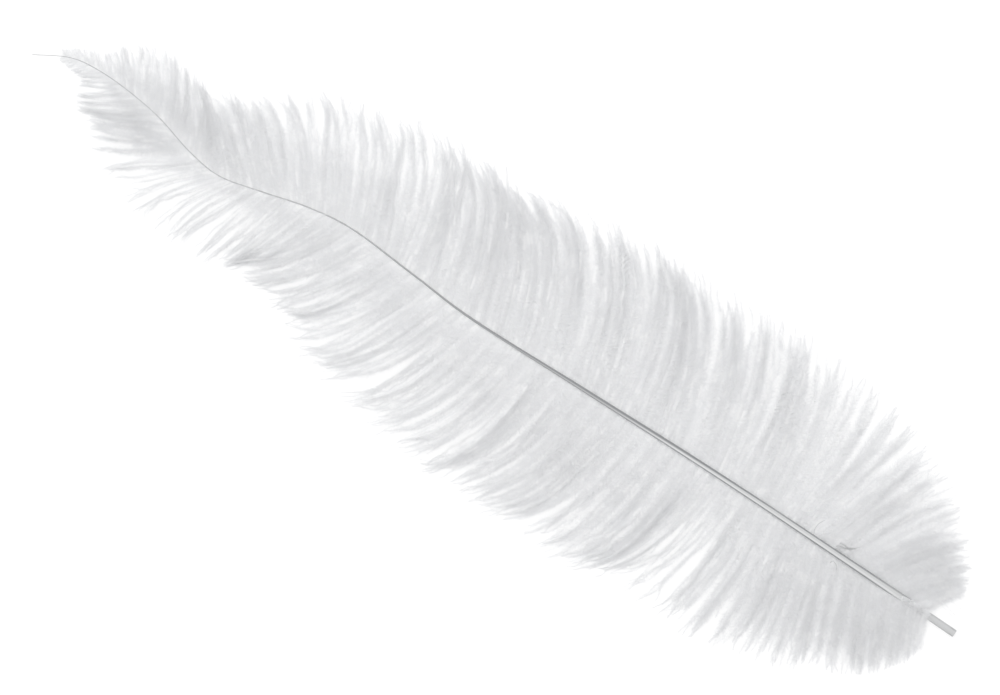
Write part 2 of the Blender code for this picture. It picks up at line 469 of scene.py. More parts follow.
def mesh_object(
    name: str, points: np.ndarray, triangles: np.ndarray, places: np.ndarray, marks: np.ndarray
) -> bpy.types.Object:
    """Makes an object from triangles.

    Args:
        name: Name of the object.
        points: Its points, in metres.
        triangles: Three point numbers for each face.
        places: Each point's place on the flat map.
        marks: Three numbers for each point that the finish reads.

    Returns:
        The object, linked to the scene.
    """
    mesh = bpy.data.meshes.new(name)
    mesh.vertices.add(len(points))
    mesh.vertices.foreach_set("co", points.astype(np.float32).ravel())
    mesh.loops.add(triangles.size)
    mesh.loops.foreach_set("vertex_index", triangles.astype(np.int32).ravel())
    mesh.polygons.add(len(triangles))
    mesh.polygons.foreach_set("loop_start", np.arange(0, triangles.size, 3, dtype=np.int32))
    mesh.update(calc_edges=True)
    flat = mesh.uv_layers.new(name=BARB_MAP, do_init=False)
    flat.uv.foreach_set("vector", places[triangles.ravel()].astype(np.float32).ravel())
    read = mesh.attributes.new(MARKS, "FLOAT_VECTOR", "POINT")
    read.data.foreach_set("vector", marks.astype(np.float32).ravel())
    thing = bpy.data.objects.new(name, mesh)
    bpy.context.scene.collection.objects.link(thing)
    return thing


@dataclass(frozen=True)
class Waves:
    """Sideways waves along a line.

    Args:
        width: Spread of their width, as a share of the line's length or in millimetres.
        fewest: The least number of waves.
        most: The largest number.
        length: The length of line that these numbers are for, or 1 for a line of any length.
    """

    width: float
    fewest: float
    most: float
    length: float = 1.0


@dataclass(frozen=True)
class TuftHabit:
    """How the tufts of a vane differ from one another.

    Args:
        spacing: The range of a tuft's width, as a share of the usual one.
        reach: The range of its length, as a share of its lock's.
        swing: Spread of the angle by which it leans, in degrees.
        curl: Spread of the angle by which its end bends, and the largest such angle.
        waves: Its waves.
        puff: Spread of how high it stands, in millimetres, and how much paler a high one is painted, as
            painted light on raised tufts and painted shade on low ones.
        hold: The range of how tightly it holds its barbs, and the tightest hold.
        tight: Share of the tufts that hold theirs more tightly, and by how much.
        lift: How far its end is lifted, as a share of its lock's.
    """

    spacing: tuple = (0.65, 1.35)
    reach: tuple = (0.95, 1.04)
    swing: float = 3.0
    curl: tuple = (12.0, 18.0)
    waves: Waves = Waves(0.03, 0.5, 1.2)
    puff: tuple = (0.5, 0.1)
    hold: tuple = (0.4, 1.1, 0.95)
    tight: tuple = (0.08, 0.4)
    lift: float = 0.6


@dataclass(frozen=True)
class BarbHabit:
    """How the barbs of a vane differ from one another.

    Args:
        spacing: The range of the distance to the next barb, as a share of the usual one.
        reach: A barb's usual share of its tuft's length, its spread, and its least and largest value.
        shorter: How much shorter the shortest barbs are, and the power that keeps them few.
        swing: Spread of the angle by which it leans, in degrees.
        curl: Spread of the angle by which its end bends, and the largest such angle.
        hold: The range of how closely it keeps to its tuft, and the closest hold.
        stray: Share of the barbs that go their own way, and how closely they keep to their tuft.
        parts: Spread of where it joins its tuft, as a share of its length, and the furthest such place.
        opens: Share of its length from which it leaves its tuft again, and how far it does.
        waves: Its waves.
        ripples: Its ripples, in millimetres.
        stray_waves: The long waves of a barb that goes its own way.
        lift: The range of how high its tip is, as a share of its tuft's.
        puff: Spread of how high it stands, in millimetres.
        over: The range of how high it crosses the shaft, in radii of the shaft.
        beyond: How far past the shaft's line it starts there, and how much less it does at first.
        shade: Its usual shade, from 0 to 1, and the spread of that.
    """

    spacing: tuple = (0.8, 1.2)
    reach: tuple = (0.985, 0.03, 0.55, 1.01)
    shorter: tuple = (0.3, 7)
    swing: float = 1.2
    curl: tuple = (6.0, 10.0)
    hold: tuple = (0.8, 1.05, 0.97)
    stray: tuple = (0.1, 0.15)
    parts: tuple = (0.05, 0.85)
    opens: tuple = (0.85, 0.25)
    waves: Waves = Waves(0.016, 0.6, 1.8)
    ripples: Waves = Waves(0.35, 3.0, 7.0, 55.0)
    stray_waves: Waves = Waves(0.05, 0.3, 0.6)
    lift: tuple = (0.4, 1.0)
    puff: float = 0.5
    over: tuple = (1.6, 2.2)
    beyond: tuple = (1.2, 0.3)
    shade: tuple = (0.5, 0.15)


@dataclass
class Tufts:
    """The tufts of a vane.

    Args:
        station: Where each leaves the shaft.
        line: The middle line of each, in the plane.
        reach: The share of its full length that each has.
        puff: How high each stands over the others.
        hold: How tightly each holds its barbs.
        lock: The number of the lock that each is part of.
    """

    station: np.ndarray
    line: np.ndarray
    reach: np.ndarray
    puff: np.ndarray
    hold: np.ndarray
    lock: np.ndarray


@dataclass
class Vane:
    """One vane: barbs side by side along the shaft, gathered in tufts and locks further out.

    Args:
        side: Which side of the shaft it grows on.
        table: Its barbs' lengths and angles along the shaft.
        shaft: The line that it grows from.
        locks: The plan of its locks.
        tuft_habit: How its tufts differ from one another.
        barb_habit: How its barbs do.
        pitch: Stations and the distance between neighbouring barbs at the shaft there.
        last_barb: Station of the last barb.
        tuft_pitch: Stations and the usual width of a tuft at the shaft there.
        lock_pull: How far a tuft's tip is drawn to the middle of its lock.
        pull_span: Shares of its length between which it is drawn there.
        lock_reach: The length of the longest locks as the barbs have it, and how much the others' count.
        closes_over: Share of a barb's length over which it closes in on its tuft.
        drift: Spread, in degrees, of slow changes of direction along the vane.
        drift_knots: The end of the stations at which these are drawn, and the distance between them.
        most_bend: The largest slow change of the direction of the barbs' ends, in degrees.
        fringe: Length of the longest barbules.
        swell: Share of it at a barb's root, how much longer it grows and the place where it has.
        thin_span: How far before and after the barbs part in tufts their barbules grow shorter.
        tip_fringe: Place from which they thin out at the tip, and how much they do.
        full_length: The least share of it on short barbs, and the barb's length that adds another 1.
        lean: Angle between barbules and barb at the root, and how much less it is at the barb's tip.
        barb_lift: How far the middle of a barb crowns over its straight fall.
        tip_height: The least height of a barb's tip.
        root_depth: How far under the shaft's axis it begins, in radii.
        cover_span: Stations between which the barbs begin to grow over the back of the shaft.
        cover_reach: How far from the shaft these barbs come down to the others.
        base_span: Stations between which the barbs are painted paler: painted light that offsets the
            shade of the dense stack at the base.
        base_painted_light: How much paler they are there.
        points_per_barb: Points of each middle line.
        seed: Start of the random numbers.
    """

    side: Side
    table: tuple
    shaft: ShaftLine
    locks: LockPlan
    tuft_habit: TuftHabit = field(default_factory=TuftHabit)
    barb_habit: BarbHabit = field(default_factory=BarbHabit)
    pitch: tuple = (
        (12, 0.7), (60, 0.8), (300, 0.82), (322, 0.72), (345, 0.66), (370, 0.68), (391, 0.75),
    )
    last_barb: float = 390.5
    tuft_pitch: tuple = ((12, 2.2), (100, 3.0), (200, 3.8), (330, 3.8), (384, 3.0))
    lock_pull: float = 0.15
    pull_span: tuple = (0.4, 1.0)
    lock_reach: tuple = (1.02, 0.35)
    closes_over: float = 0.45
    drift: float = 2.0
    drift_knots: tuple = (420, 11)
    most_bend: float = 6.0
    fringe: float = 3.0
    swell: tuple = (0.8, 0.3, 0.6)
    thin_span: tuple = (0.1, 0.25)
    tip_fringe: tuple = (0.82, 0.7)
    full_length: tuple = (0.45, 42.0)
    lean: tuple = (66.0, 20.0)
    barb_lift: float = 2.0
    tip_height: float = 0.3
    root_depth: float = 0.5
    cover_span: tuple = (366.0, 386.0)
    cover_reach: float = 4.5
    base_span: tuple = (315.0, 350.0)
    base_painted_light: float = 0.45
    points_per_barb: int = 36
    seed: int = 3

    def __post_init__(self) -> None:
        """Spaces out the points of a barb and draws the slow changes of direction."""
        self.random = np.random.default_rng(self.seed + self.side.value)
        self.share = np.linspace(0, 1, self.points_per_barb + 1)
        self.knots = np.arange(0, *self.drift_knots)
        self.drifts = self.random.normal(0, self.drift, len(self.knots))
        turns = self.random.normal(0, 2 * self.drift, len(self.knots))
        self.turns = turns.clip(-self.most_bend, self.most_bend)

    def column(self, name: str, station: np.ndarray) -> np.ndarray:
        """Reads one value of the barb table at these stations."""
        values = [getattr(row, name) for row in self.table]
        return np.interp(station, [row.station for row in self.table], values)

    def flow(
        self, station: np.ndarray, reach: np.ndarray, swing: np.ndarray, curl: np.ndarray
    ) -> np.ndarray:
        """The middle lines of undisturbed barbs, in the plane.

        Args:
            station: Where each barb leaves the shaft.
            reach: The share of its full length that each has.
            swing: Degrees by which each leans away from the tip.
            curl: Degrees by which the end of each bends away from the tip.

        Returns:
            An array of barbs, points and two coordinates.
        """
        count = self.points_per_barb
        way = (np.arange(count) + 0.5) / count * reach[:, None]
        first = (self.column("leaves", station) + swing)[:, None]
        last = (self.column("ends", station) + swing + curl)[:, None]
        angle = first + (last - first) * way**2
        turn = np.radians(self.shaft.heading(station)[:, None] - self.side.value * angle)
        stride = (self.column("length", station) * reach / count)[:, None, None]
        steps = stride * np.stack([np.cos(turn), np.sin(turn)], -1)
        start = self.shaft.place(station)[:, None, :]
        return np.concatenate([start, start + np.cumsum(steps, 1)], 1)

    def wave(
        self, lines: np.ndarray, waves: Waves, width: np.ndarray | float, longer: np.ndarray | float = 1.0
    ) -> np.ndarray:
        """Draws sideways waves that grow along each line.

        Args:
            lines: Middle lines in the plane.
            waves: Their width and number.
            width: What each line's width is multiplied by.
            longer: The length of each line, where the number of its waves depends on it.

        Returns:
            The waved lines.
        """
        count = len(lines)
        size = self.random.normal(0, waves.width, count) * width
        turns = self.random.uniform(waves.fewest, waves.most, count) * longer / waves.length
        phase = self.random.uniform(0, 2 * math.pi, count)
        along = unit(np.gradient(lines, axis=1))
        aside = np.stack([-along[..., 1], along[..., 0]], -1)
        push = np.sin(2 * math.pi * turns[:, None] * self.share + phase[:, None]) * self.share**1.5
        return lines + aside * (size[:, None] * push)[..., None]

    def heights(self, station: np.ndarray, tip: np.ndarray, puff: np.ndarray) -> np.ndarray:
        """How high each barb runs over the surface.

        Args:
            station: Where each barb leaves the shaft.
            tip: The height of each barb's tip.
            puff: How much higher than usual the middle of each is where the shaft is highest.

        Returns:
            Heights, for each barb and point.
        """
        root = (self.shaft.height(station) - self.root_depth * self.shaft.radius(station))[:, None]
        fall = (1 + np.cos(math.pi * self.share)) / 2
        swell = (self.barb_lift + puff[:, None]) * np.sin(math.pi * self.share) * root / self.shaft.arch
        return tip[:, None] + (root - tip[:, None]) * fall + swell

    def tuft_stations(self) -> np.ndarray:
        """Places the tufts along the shaft."""
        stations = [self.locks.first]
        while stations[-1] < self.last_barb:
            width = float(read_table(self.tuft_pitch, stations[-1]))
            stations.append(stations[-1] + width * self.random.uniform(*self.tuft_habit.spacing))
        edges = np.array(stations)
        return (edges[1:] + edges[:-1]) / 2

    def covers(self, station: np.ndarray) -> np.ndarray:
        """How far the barbs of these stations grow over the back of the shaft, from 0 to 1."""
        first, last = self.cover_span
        return smoothstep(first, last, station)

    def barb_stations(self) -> np.ndarray:
        """Places the barbs along the shaft."""
        stations = [self.locks.first]
        while stations[-1] < self.last_barb:
            pitch = float(read_table(self.pitch, stations[-1]))
            stations.append(stations[-1] + pitch * self.random.uniform(*self.barb_habit.spacing))
        return np.array(stations)

    def bends(
        self, habit: TuftHabit | BarbHabit, station: np.ndarray, gathers: np.ndarray | float
    ) -> tuple:
        """Draws how far tufts or barbs lean and how far their ends bend.

        Args:
            habit: How they differ from one another.
            station: Where they leave the shaft.
            gathers: How much these differences count.

        Returns:
            Both angles, in degrees.
        """
        spread, most = habit.curl
        swing = self.random.normal(0, habit.swing, len(station)) * gathers
        swing = np.interp(station, self.knots, self.drifts) + swing
        curl = self.random.normal(0, spread, len(station)).clip(-most, most) * gathers
        return swing, np.interp(station, self.knots, self.turns) + curl

    def tufts(self) -> Tufts:
        """Works out every tuft of the vane."""
        random, locks, habit = self.random, self.locks, self.tuft_habit
        longest, counts = self.lock_reach
        lock_reach = longest - counts * (1 - locks.reach[self.side])
        still = np.zeros(len(locks.middles))
        crown = self.flow(locks.middles, lock_reach, still, still)
        station = self.tuft_stations()
        count = len(station)
        gathers = self.column("gathers", station)
        lock = (np.searchsorted(locks.edges, station) - 1).clip(0, len(locks.middles) - 1)
        reach = lock_reach[lock] * random.uniform(*habit.reach, count)
        line = self.flow(station, reach, *self.bends(habit, station, gathers))
        pull = self.lock_pull * smoothstep(*self.pull_span, self.share)[None, :, None]
        line = line * (1 - pull) + crown[lock] * pull
        line = self.wave(line, habit.waves, self.column("length", station))
        puff = random.normal(0, habit.puff[0], count)
        loosest, closest, most = habit.hold
        chance, tighter = habit.tight
        hold = gathers * random.uniform(loosest, closest, count)
        hold = (hold + (random.random(count) < chance) * tighter).clip(0, most)
        return Tufts(station, line, reach, puff, hold, lock)

    def grip(self, station: np.ndarray, hold: np.ndarray) -> np.ndarray:
        """Works out how closely each barb follows its tuft along its length.

        Args:
            station: Where each barb leaves the shaft.
            hold: How closely it keeps to its tuft where it has joined it.

        Returns:
            Numbers from 0 to 1, for each barb and point.
        """
        spread, last = self.barb_habit.parts
        start = self.column("parts", station) + self.random.normal(0, spread, len(station))
        closed = (self.share[None, :] - start.clip(0.0, last)[:, None]) / self.closes_over
        opens_from, opens = self.barb_habit.opens
        closed = smoothstep(0, 1, closed) * (1 - opens * smoothstep(opens_from, 1, self.share))
        return hold[:, None] * closed

    def cross_shaft(
        self, line: np.ndarray, height: np.ndarray, station: np.ndarray, near_root: np.ndarray
    ) -> np.ndarray:
        """Carries the roots of barbs over the back of the shaft.

        Args:
            line: Middle lines in the plane.
            height: Their heights, for each point.
            station: Where each barb leaves the shaft.
            near_root: How far each point is carried over, from 0 to 1.

        Returns:
            The lines with their heights.
        """
        far, less = self.barb_habit.beyond
        radius = self.shaft.radius(station)[:, None]
        across = -self.side.value * self.shaft.outward(station)
        beyond = near_root * radius * (far * self.covers(station)[:, None] - less)
        line = line - across[:, None, :] * beyond[..., None]
        rise = self.random.uniform(*self.barb_habit.over, len(station))[:, None]
        height = height + near_root * radius * rise
        return np.concatenate([line, height[..., None]], -1)

    def barbs(self) -> tuple:
        """Works out every barb of the vane.

        Returns:
            The stations, the middle lines, the lengths, the shades and how far each covers the shaft.
        """
        random, habit = self.random, self.barb_habit
        tufts = self.tufts()
        station = self.barb_stations()
        count = len(station)
        own = np.abs(station[:, None] - tufts.station[None, :]).argmin(1)
        chance, stray_hold = habit.stray
        stray = random.random(count) < chance
        usual, spread, least, most = habit.reach
        shorter, power = habit.shorter
        reach = random.normal(usual, spread, count) - shorter * random.random(count) ** power
        reach = (tufts.reach[own] * reach).clip(least, most)
        length = self.column("length", station)
        line = self.flow(station, reach, *self.bends(habit, station, 1.0))
        loosest, closest, most = habit.hold
        hold = tufts.hold[own] * random.uniform(loosest, closest, count)
        grip = self.grip(station, np.where(stray, stray_hold, hold).clip(0, most))[..., None]
        line = line * (1 - grip) + tufts.line[own] * grip
        line = self.wave(line, habit.waves, length)
        line = self.wave(line, habit.ripples, 1.0, length)
        line = self.wave(line, habit.stray_waves, stray * length)

        lift = self.tuft_habit.lift * self.locks.lift[self.side][tufts.lock[own]]
        tip = self.tip_height + lift * random.uniform(*habit.lift, count)
        puff = tufts.puff[own]
        height = self.heights(station, tip, puff + random.normal(0, habit.puff, count))
        over = self.covers(station)
        near_root = np.exp(-((self.share[None, :] * length[:, None] / self.cover_reach) ** 2))
        near_root = over[:, None] * near_root
        path = self.cross_shaft(line, height, station, near_root)
        usual, spread = habit.shade
        # The shade is the barb's own random tone, plus painted light on high tufts and painted shade on
        # low ones
        shade = usual + self.tuft_habit.puff[1] * np.tanh(puff) + random.normal(0, spread, count)
        # Painted light: barbs towards the base are painted paler, to offset the shade of the dense stack
        # there
        shade = (shade.clip(0, 1) + self.base_painted_light * smoothstep(*self.base_span, station)).clip(0, 1)
        return station, path, length * reach, shade, over

    def build(self, sections: int) -> list:
        """Builds the vane as several pieces, from the tip to the base.

        Args:
            sections: How many pieces.

        Returns:
            The objects.
        """
        station, path, length, shade, over = self.barbs()
        share = np.linspace(0, 1, path.shape[1])
        parts = self.column("parts", station)[:, None]
        fluff = self.column("fluff", station)[:, None]
        at_root, grows, grown = self.swell
        swell = at_root + grows * smoothstep(0.0, grown, share)
        before, after = self.thin_span
        thins = 1 - (1 - fluff) * smoothstep(parts - before, parts + after, share[None, :])
        tip_from, shorter = self.tip_fringe
        fringe = self.fringe * swell * thins * (1 - shorter * smoothstep(tip_from, 1, share))
        least, full = self.full_length
        fringe = fringe * (least + length / full).clip(0, 1)[:, None]
        lean = self.lean[0] - self.lean[1] * share
        # Every piece has the same total length of barbs, and the last one takes in the last barb
        cuts = np.linspace(0, length.sum() * PAST_ALL, sections + 1)
        bounds = np.searchsorted(np.cumsum(length), cuts)
        pieces = []
        for section, (low, high) in enumerate(zip(bounds, bounds[1:])):
            stack = BarbStack(seed=self.seed * MOST_SECTIONS + section)
            for number in range(low, high):
                tone, low_down = float(shade[number]), 1 - float(over[number])
                stack.add(path[number], fringe[number], lean, tone, low_down)
            pieces.append(stack.mesh(f"{self.side.name.lower()}_vane_{section + 1}"))
            LOG.info("%s: %d triangles", pieces[-1].name, len(pieces[-1].data.polygons))
        return pieces


@dataclass
class StrayBarbs:
    """Single barbs that curl over the vanes.

    Args:
        name: Name of the piece.
        lines: The points that each runs through.
        fringe: Length of their barbules.
        stride: Distance between neighbouring barbules of one side.
        points: Points of each middle line.
        lean: Angle between the barbules and the barb, in degrees.
        tone: The number that their finish reads as their shade.
        seed: Start of the random numbers.
    """

    name: str
    lines: tuple
    fringe: float
    stride: float = 0.1
    points: int = 24
    lean: float = 40.0
    tone: float = 0.2
    seed: int = 5

    def build(self) -> bpy.types.Object:
        """Builds them as one piece."""
        stack = BarbStack(stride=self.stride, root_reach=self.stride, seed=self.seed)
        for line in self.lines:
            knots = np.array(line, float)
            place = np.linspace(0, len(knots) - 1, self.points)
            path = read_line(knots, np.arange(len(knots)), place)
            path[1:-1] = (path[:-2] + 2 * path[1:-1] + path[2:]) / 4
            every = np.ones(self.points)
            stack.add(path, self.fringe * every, self.lean * every, self.tone)
        return stack.mesh(self.name)


@dataclass
class Rachis:
    """The shaft: a bare hair at the tip, a ridge between the vanes and a hollow quill stub, cut straight.

    Args:
        shaft: The line that it follows.
        rings: Sections along it.
        sides: Points round each section.
        wall: Thickness of the quill's wall at the cut.
        bore_depth: How deep the quill is open at the cut.
        lip: How far in from the outside the cut's bevel, its inner edge and the bore's end lie, in walls.
        flattened: Share by which it is lower than it is wide.
        groove: Depth of the groove on each flank, as a share of the radius.
        groove_height: Where the groove lies, as a share of the radius.
        groove_width: How wide the groove is, in the same way.
        crease: Angle from which an edge is drawn sharp, in degrees.
    """

    shaft: ShaftLine
    rings: int = 320
    sides: int = 28
    wall: float = 0.35
    bore_depth: float = 5.0
    lip: tuple = (0.5, 1.0, 1.6)
    flattened: float = 0.08
    groove: float = 0.1
    groove_height: float = 0.98
    groove_width: float = 0.12
    crease: float = 40.0

    def section(self, angle: np.ndarray) -> np.ndarray:
        """The outline round the axis, a little flattened, with a shallow groove on each flank.

        Args:
            angle: Angles round the axis.

        Returns:
            Points round the axis of a shaft of radius 1.
        """
        away = (np.abs(np.sin(angle + math.pi / 2)) - self.groove_height) / self.groove_width
        groove = self.groove * np.exp(-(away**2))
        return np.stack([np.cos(angle) * (1 - groove), np.sin(angle) * (1 - self.flattened)], -1)

    def build(self) -> bpy.types.Object:
        """Sweeps the section along the line and closes it with the cut end."""
        station = np.linspace(0, self.shaft.length, self.rings)
        radius = self.shaft.radius(station)
        inner = self.shaft.length - np.array([0.0, 0.0, self.bore_depth])
        station = np.concatenate([station, inner])
        radius = np.concatenate([radius, radius[-1] - np.array(self.lip) * self.wall])
        place = self.shaft.place(station)
        outward = self.shaft.outward(station)
        angle = np.linspace(0, 2 * math.pi, self.sides, endpoint=False)
        outline = self.section(angle)
        points = np.empty((len(station), self.sides, 3))
        width = outline[None, :, :1] * radius[:, None, None]
        points[..., :2] = place[:, None] + outward[:, None] * width
        points[..., 2] = self.shaft.height(station)[:, None] + outline[None, :, 1] * radius[:, None]
        points = points.reshape(-1, 3)
        points[:, 2] = np.maximum(points[:, 2], 0.0)
        quads = []
        count = len(station)
        ring = np.arange(self.sides)
        after = (ring + 1) % self.sides
        for row in range(count - 1):
            a, b = row * self.sides, (row + 1) * self.sides
            quads.append(np.stack([a + ring, b + ring, b + after], -1))
            quads.append(np.stack([a + ring, b + after, a + after], -1))
        ends = np.array([points[: self.sides].mean(0), points[-self.sides :].mean(0)])
        first, last = len(points), len(points) + 1
        quads.append(np.stack([np.full(self.sides, first), ring, after], -1))
        base = (count - 1) * self.sides
        quads.append(np.stack([np.full(self.sides, last), base + after, base + ring], -1))
        points = np.vstack([points, ends])
        triangles = np.vstack(quads)
        points[:, :2] -= MIDDLE
        share = np.arange(count) / (count - 1)
        places = np.stack(np.broadcast_arrays((ring / self.sides)[None, :], share[:, None]), -1)
        aside = ((1 - np.cos(angle)) / 2)[None, :]
        under = ((1 - np.sin(angle)) / 2)[None, :]
        along = (station / self.shaft.length)[:, None]
        marks = np.stack(np.broadcast_arrays(aside, along, under), -1)
        places = np.vstack([places.reshape(-1, 2), [[0.5, 0.0], [0.5, 1.0]]])
        marks = np.vstack([marks.reshape(-1, 3), [[0.5, 0.0, 0.5], [0.5, 1.0, 0.5]]])
        thing = mesh_object("shaft", points * MM, triangles[:, ::-1], places, marks)
        thing.data.shade_smooth()
        thing.data.set_sharp_from_angle(angle=math.radians(self.crease))
        LOG.info("shaft: %d triangles", len(triangles))
        return thing


class Nodes:
    """A short way to write a material's nodes.

    Args:
        name: Name of the new material.
    """

    def __init__(self, name: str) -> None:
        """Makes the material and finds its shader and its output."""
        self.material = bpy.data.materials.new(name)
        self.material.use_nodes = True
        self.tree = self.material.node_tree
        self.shader = self.tree.nodes["Principled BSDF"]
        self.output = self.tree.nodes["Material Output"]

    def link(self, source: bpy.types.NodeSocket, target: bpy.types.NodeSocket) -> None:
        """Joins two sockets."""
        self.tree.links.new(source, target)

    def mark(self) -> tuple:
        """Reads the three marks of the mesh."""
        read = self.tree.nodes.new("ShaderNodeAttribute")
        read.attribute_name = MARKS
        split = self.tree.nodes.new("ShaderNodeSeparateXYZ")
        self.link(read.outputs["Vector"], split.inputs["Vector"])
        return split.outputs["X"], split.outputs["Y"], split.outputs["Z"]

    def ramp(self, value: bpy.types.NodeSocket, stops: tuple) -> bpy.types.NodeSocket:
        """Turns a value into a number or colour.

        Args:
            value: The socket that is read.
            stops: Positions, each with the number or colour that it gives.

        Returns:
            The socket of the result.
        """
        node = self.tree.nodes.new("ShaderNodeValToRGB")
        elements = node.color_ramp.elements
        while len(elements) < len(stops):
            elements.new(1.0)
        for element, (position, given) in zip(elements, stops):
            element.position = position
            element.color = given if isinstance(given, tuple) else (given, given, given, 1.0)
        self.link(value, node.inputs["Fac"])
        return node.outputs["Color"]

    def sum(self, operation: str, first: bpy.types.NodeSocket, second: object) -> bpy.types.NodeSocket:
        """Works out one step of arithmetic.

        Args:
            operation: The name of the operation.
            first: The socket that it starts from.
            second: A socket or a number.

        Returns:
            The socket of the result.
        """
        node = self.tree.nodes.new("ShaderNodeMath")
        node.operation = operation
        self.link(first, node.inputs[0])
        if isinstance(second, bpy.types.NodeSocket):
            self.link(second, node.inputs[1])
        else:
            node.inputs[1].default_value = second
        return node.outputs["Value"]

    def mix(self, factor: bpy.types.NodeSocket, first: object, second: object) -> bpy.types.NodeSocket:
        """Mixes two colours.

        Args:
            factor: The share of the second.
            first: A colour, as a socket or a value.
            second: The same.

        Returns:
            The socket of the result.
        """
        node = self.tree.nodes.new("ShaderNodeMix")
        node.data_type = "RGBA"
        self.link(factor, node.inputs["Factor"])
        for name, given in (("A", first), ("B", second)):
            socket = next(one for one in node.inputs if one.name == name and one.type == "RGBA")
            if isinstance(given, bpy.types.NodeSocket):
                self.link(given, socket)
            else:
                socket.default_value = given
        return next(one for one in node.outputs if one.type == "RGBA")

    def noise(
        self, scale: float, detail: float, stretch: tuple = (1.0, 1.0, 1.0)
    ) -> bpy.types.NodeSocket:
        """Makes soft noise on the object's own coordinates.

        Args:
            scale: Waves to a metre.
            detail: How many finer noises are added.
            stretch: What the coordinates are multiplied by.

        Returns:
            The noise.
        """
        place = self.tree.nodes.new("ShaderNodeTexCoord")
        grow = self.tree.nodes.new("ShaderNodeMapping")
        grow.inputs["Scale"].default_value = stretch
        cloud = self.tree.nodes.new("ShaderNodeTexNoise")
        cloud.inputs["Scale"].default_value = scale
        cloud.inputs["Detail"].default_value = detail
        self.link(place.outputs["Object"], grow.inputs["Vector"])
        self.link(grow.outputs["Vector"], cloud.inputs["Vector"])
        return cloud.outputs["Fac"]

    def streaks(
        self, along: bpy.types.NodeSocket, barb: bpy.types.NodeSocket, per_unit: float, barb_scale: float
    ) -> bpy.types.NodeSocket:
        """Makes noise that runs along each barb and differs from barb to barb.

        Args:
            along: The distance along the barb.
            barb: A number that differs from barb to barb.
            per_unit: Waves to a unit of that distance.
            barb_scale: How quickly the noise changes with the barb's number.

        Returns:
            The noise.
        """
        join = self.tree.nodes.new("ShaderNodeCombineXYZ")
        self.link(self.sum("MULTIPLY", along, per_unit), join.inputs["X"])
        self.link(self.sum("MULTIPLY", barb, barb_scale), join.inputs["Y"])
        cloud = self.tree.nodes.new("ShaderNodeTexNoise")
        cloud.inputs["Scale"].default_value = 1.0
        cloud.inputs["Detail"].default_value = 0.0
        self.link(join.outputs["Vector"], cloud.inputs["Vector"])
        return cloud.outputs["Fac"]

    def bump(self, height: bpy.types.NodeSocket, strength: float, distance: float) -> None:
        """Roughens the shader's surface.

        Args:
            height: The socket of its heights.
            strength: How strongly they count.
            distance: The largest height, in metres.
        """
        node = self.tree.nodes.new("ShaderNodeBump")
        node.inputs["Strength"].default_value = strength
        node.inputs["Distance"].default_value = distance
        self.link(height, node.inputs["Height"])
        self.link(node.outputs["Normal"], self.shader.inputs["Normal"])


@dataclass(frozen=True)
class DownFinish:
    """Soft white down: matt and a little see-through, each barb with its own shade, partly painted light
    and shade, a denser middle and short painted highlights.

    Args:
        name: Name of the material.
        pale: Colour of the barbules' ends.
        core: Colour along the middle of a barb.
        dusk: Colour that the darkest barbs are mixed with: their random tone, and painted shade on low
            tufts.
        gleam: Colour of the short painted highlights along the middle of a barb.
        glow_through: Share of the light that passes through.
        sheen: Soft gleam seen across the barbs.
        shine: Strength of its reflections.
        dark_barbs: How far the darkest barbs are mixed with dusk.
        clouds: How far soft clouds over the whole vane are.
    """

    name: str = "white_down"
    pale: tuple = (0.915, 0.919, 0.928, 1.0)
    core: tuple = (0.865, 0.869, 0.878, 1.0)
    dusk: tuple = (0.82, 0.825, 0.836, 1.0)
    gleam: tuple = WHITE
    glow_through: float = 0.15
    sheen: float = 0.1
    shine: float = 0.2
    dark_barbs: float = 0.3
    clouds: float = 0.1

    def material(self) -> bpy.types.Material:
        """Makes the down's material."""
        made = Nodes(self.name)
        spread, along, shade = made.mark()
        aside = made.sum("ABSOLUTE", made.sum("SUBTRACT", spread, 0.5), 0.0)
        body = made.ramp(aside, ((0.0, self.core), (0.12, self.core), (0.5, self.pale)))
        cloud = made.noise(scale=55.0, detail=3.0)
        # Barbs of a low shade number are mixed with dusk: a random tone, and painted shade where their
        # tufts lie low
        dark = made.sum("MULTIPLY", made.ramp(shade, ((0.0, 1.0), (1.0, 0.0))), self.dark_barbs)
        colour = made.mix(dark, body, self.dusk)
        colour = made.mix(made.sum("MULTIPLY", cloud, self.clouds), colour, self.dusk)
        # Short painted highlights along the middle of a barb, each barb with its own
        short = made.streaks(along, shade, per_unit=16.0, barb_scale=400.0)
        gleam = made.ramp(short, ((0.5, 0.0), (0.55, 1.0)))
        gleam = made.sum("MULTIPLY", gleam, made.ramp(aside, ((0.0, 1.0), (0.08, 1.0), (0.2, 0.0))))
        painted_highlight_patches = made.ramp(made.noise(scale=90.0, detail=1.0), ((0.4, 0.2), (0.6, 0.75)))
        gleam = made.sum("MULTIPLY", gleam, painted_highlight_patches)
        colour = made.mix(gleam, colour, self.gleam)
        made.link(colour, made.shader.inputs["Base Color"])
        fine = made.noise(scale=900.0, detail=2.0)
        made.link(made.ramp(fine, ((0.3, 0.7), (0.7, 0.95))), made.shader.inputs["Roughness"])
        made.bump(fine, strength=0.2, distance=0.0002)
        made.shader.inputs["Sheen Weight"].default_value = self.sheen
        made.shader.inputs["Specular IOR Level"].default_value = self.shine
        through = made.tree.nodes.new("ShaderNodeBsdfTranslucent")
        made.link(colour, through.inputs["Color"])
        blend = made.tree.nodes.new("ShaderNodeMixShader")
        blend.inputs["Fac"].default_value = self.glow_through
        made.link(made.shader.outputs["BSDF"], blend.inputs[1])
        made.link(through.outputs["BSDF"], blend.inputs[2])
        made.link(blend.outputs["Shader"], made.output.inputs["Surface"])
        return made.material


